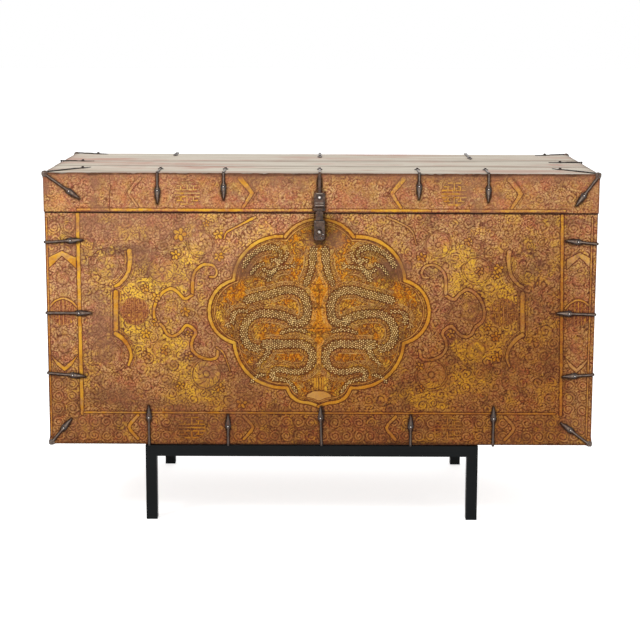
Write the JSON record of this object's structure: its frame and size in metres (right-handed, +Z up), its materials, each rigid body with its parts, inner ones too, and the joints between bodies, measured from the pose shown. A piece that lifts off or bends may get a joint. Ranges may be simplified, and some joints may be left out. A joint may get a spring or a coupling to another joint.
{
  "type": "painted chest on stand",
  "caption": "Long wooden trunk with a hinged lid, relief-painted front, forged leaf-tipped iron mounts and a hasp, set on a low square-tube stand.",
  "frame": {"origin": "on the floor under the middle of the whole piece", "axes": "+X along the front to the viewer's right, +Y from the front to the back, +Z up"},
  "size_m": [1.2542, 0.5517, 0.8071],
  "materials": {
    "lacquered_wood": "worn red-brown lacquer over boards",
    "weathered_wood": "bare weathered grey boards",
    "painted_gesso": "raised gesso with red, ochre and gilt paint, worn",
    "forged_iron": "dark forged iron, worn bright on its high spots",
    "black_steel": "satin black paint"
  },
  "bodies": {
    "chest": {"front_board": "lacquered_wood", "back_board": "lacquered_wood", "left_end_board": "lacquered_wood", "right_end_board": "lacquered_wood", "bottom_plank_front": "lacquered_wood", "bottom_plank_middle": "lacquered_wood", "bottom_plank_back": "lacquered_wood", "front_gesso": "painted_gesso", "front_relief": "painted_gesso", "body_strap_left": "forged_iron", "body_strap_middle": "forged_iron", "body_strap_right": "forged_iron", "hinge_pin_left": "forged_iron", "hinge_pin_middle": "forged_iron", "hinge_pin_right": "forged_iron", "stud_plate": "forged_iron", "lock_stud": "forged_iron", "base_corner_front_left": "forged_iron", "base_corner_front_right": "forged_iron", "base_corner_back_left": "forged_iron", "base_corner_back_right": "forged_iron", "edge_cleats_front_left": "forged_iron", "edge_cleats_front_right": "forged_iron", "edge_cleats_back_left": "forged_iron", "edge_cleats_back_right": "forged_iron", "base_front_cleats": "forged_iron", "base_back_cleats": "forged_iron", "body_nails": "forged_iron", "stand_leg_front_left": "black_steel", "stand_leg_front_right": "black_steel", "stand_leg_back_left": "black_steel", "stand_leg_back_right": "black_steel", "stand_front_rail": "black_steel", "stand_back_rail": "black_steel", "stand_left_rail": "black_steel", "stand_right_rail": "black_steel"},
    "lid": {"lid_front_rail": "lacquered_wood", "lid_back_rail": "lacquered_wood", "lid_left_end": "lacquered_wood", "lid_right_end": "lacquered_wood", "lid_battens": "lacquered_wood", "lid_plank_front": "weathered_wood", "lid_plank_middle": "weathered_wood", "lid_plank_back": "weathered_wood", "lid_gesso": "painted_gesso", "lid_relief": "painted_gesso", "lid_corner_front_left": "forged_iron", "lid_corner_front_right": "forged_iron", "lid_corner_back_left": "forged_iron", "lid_corner_back_right": "forged_iron", "lid_front_cleats": "forged_iron", "lid_end_cleats": "forged_iron", "lid_nails": "forged_iron", "lid_strap_left": "forged_iron", "lid_strap_middle": "forged_iron", "lid_strap_right": "forged_iron", "hasp_plate": "forged_iron", "hasp_pin": "forged_iron"},
    "hasp": {"hasp": "forged_iron"}
  },
  "joints": [
    {"name": "lid_hinge", "type": "hinge", "parent": "chest", "child": "lid", "pos_m": [-0.004, 0.2668, 0.7125], "axis": [-1, 0, 0], "range_deg": [0, 105]},
    {"name": "hasp_hinge", "type": "hinge", "parent": "lid", "child": "hasp", "pos_m": [-0.004, -0.2658, 0.721], "axis": [-1, 0, 0], "range_deg": [-14, 140]}
  ]
}
